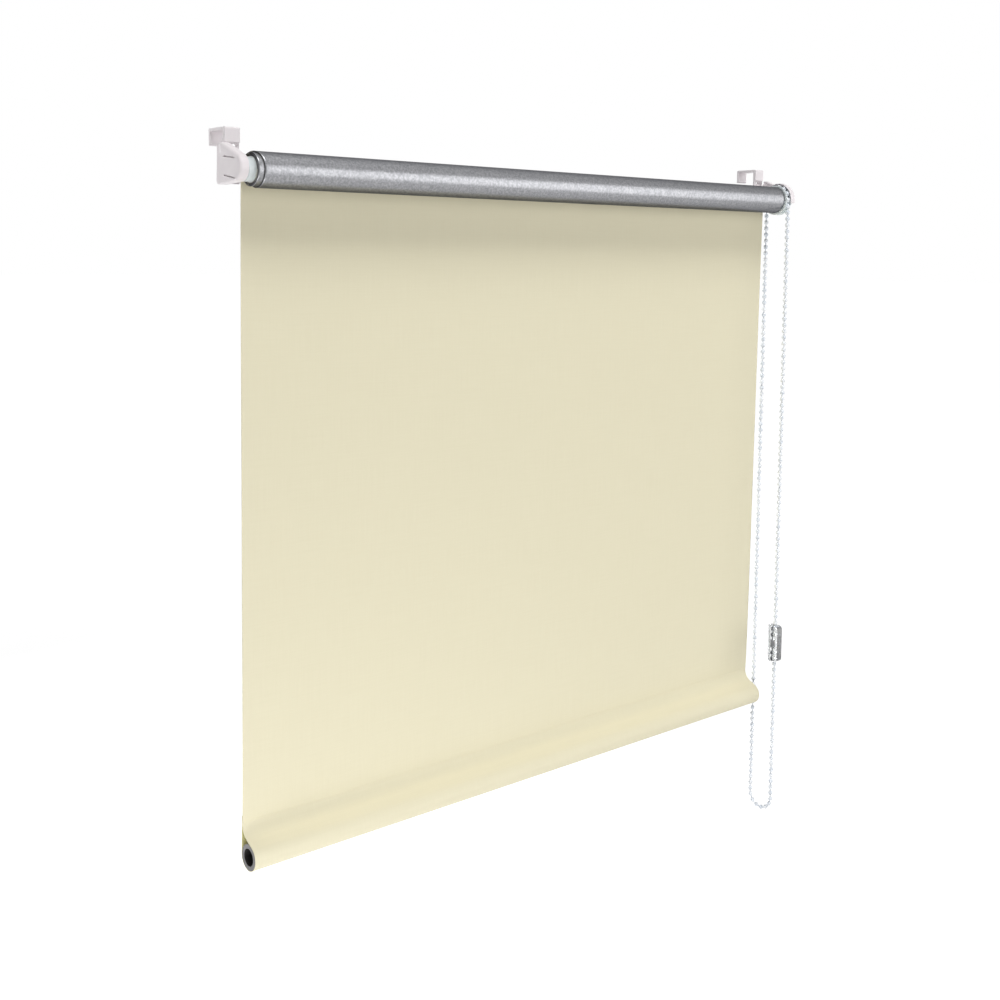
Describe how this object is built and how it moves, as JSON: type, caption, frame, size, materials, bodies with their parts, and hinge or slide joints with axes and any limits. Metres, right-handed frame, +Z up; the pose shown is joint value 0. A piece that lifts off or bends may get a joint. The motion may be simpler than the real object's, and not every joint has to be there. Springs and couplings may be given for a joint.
{
  "type": "clip-on roller blind",
  "caption": "Roller blind that hooks over a window sash: a chain wheel winds the cloth, silver side out, on a tube, and a round bar weights the hem.",
  "frame": {"origin": "Centre of the left hook's seat, the underside of its top plate where it hangs on the sash edge.", "axes": "+X along the roller to the chain side, +Y through the sash and away from the room, +Z up."},
  "size_m": [0.6006, 0.0648, 0.6387],
  "materials": {
    "white_plastic": "satin moulded",
    "plug_plastic": "smooth moulded",
    "bead_plastic": "glossy, slightly translucent",
    "clear_plastic": "clear moulded",
    "grey_plastic": "matte moulded",
    "cream_cloth": "fine plain weave",
    "silver_cloth": "grainy silver coating",
    "tube_aluminium": "mill finish",
    "steel": "zinc plated"
  },
  "bodies": {
    "frame": {"left_clip_hook": "white_plastic", "right_clip_hook": "white_plastic", "left_bracket_base": "white_plastic", "right_bracket_base": "white_plastic", "left_bracket_cover": "white_plastic", "right_bracket_cover": "white_plastic", "bracket_screws": "steel", "chain_guard": "white_plastic", "brake_core": "white_plastic", "brake_springs": "steel", "bead_chain": "bead_plastic", "chain_connector": "clear_plastic"},
    "roller": {"roller_tube": "tube_aluminium", "fabric_roll": "silver_cloth", "idle_end_plug": "plug_plastic", "idle_pin_spring": "steel", "drive_plug": "plug_plastic", "chain_wheel": "plug_plastic"},
    "idle_pin": {"idle_pin": "steel"},
    "hem": {"fabric_drop": "cream_cloth", "hem_pocket": "cream_cloth", "hem_bar": "tube_aluminium", "left_hem_cap": "grey_plastic", "right_hem_cap": "grey_plastic"}
  },
  "joints": [
    {"name": "roller_turn", "type": "hinge", "parent": "frame", "child": "roller", "pos_m": [0.2855, -0.035, -0.028], "axis": [1, 0, 0], "range_deg": [-1883.08, 1993.85], "deforming": ["bead_chain"]},
    {"name": "hem_lift", "type": "slide", "parent": "frame", "child": "hem", "axis": [0, 0, 1], "range_m": [-0.4145, 0.4388], "deforming": ["fabric_drop"]},
    {"name": "idle_pin_slide", "type": "slide", "parent": "roller", "child": "idle_pin", "axis": [1, 0, 0], "range_m": [0, 0.005], "stiffness_N_per_m": 400, "springref_m": -0.006, "deforming": ["idle_pin_spring"]}
  ],
  "couplings": [
    {"joint": "hem_lift", "follows": "roller_turn", "m_per_rad": 0.0126}
  ]
}
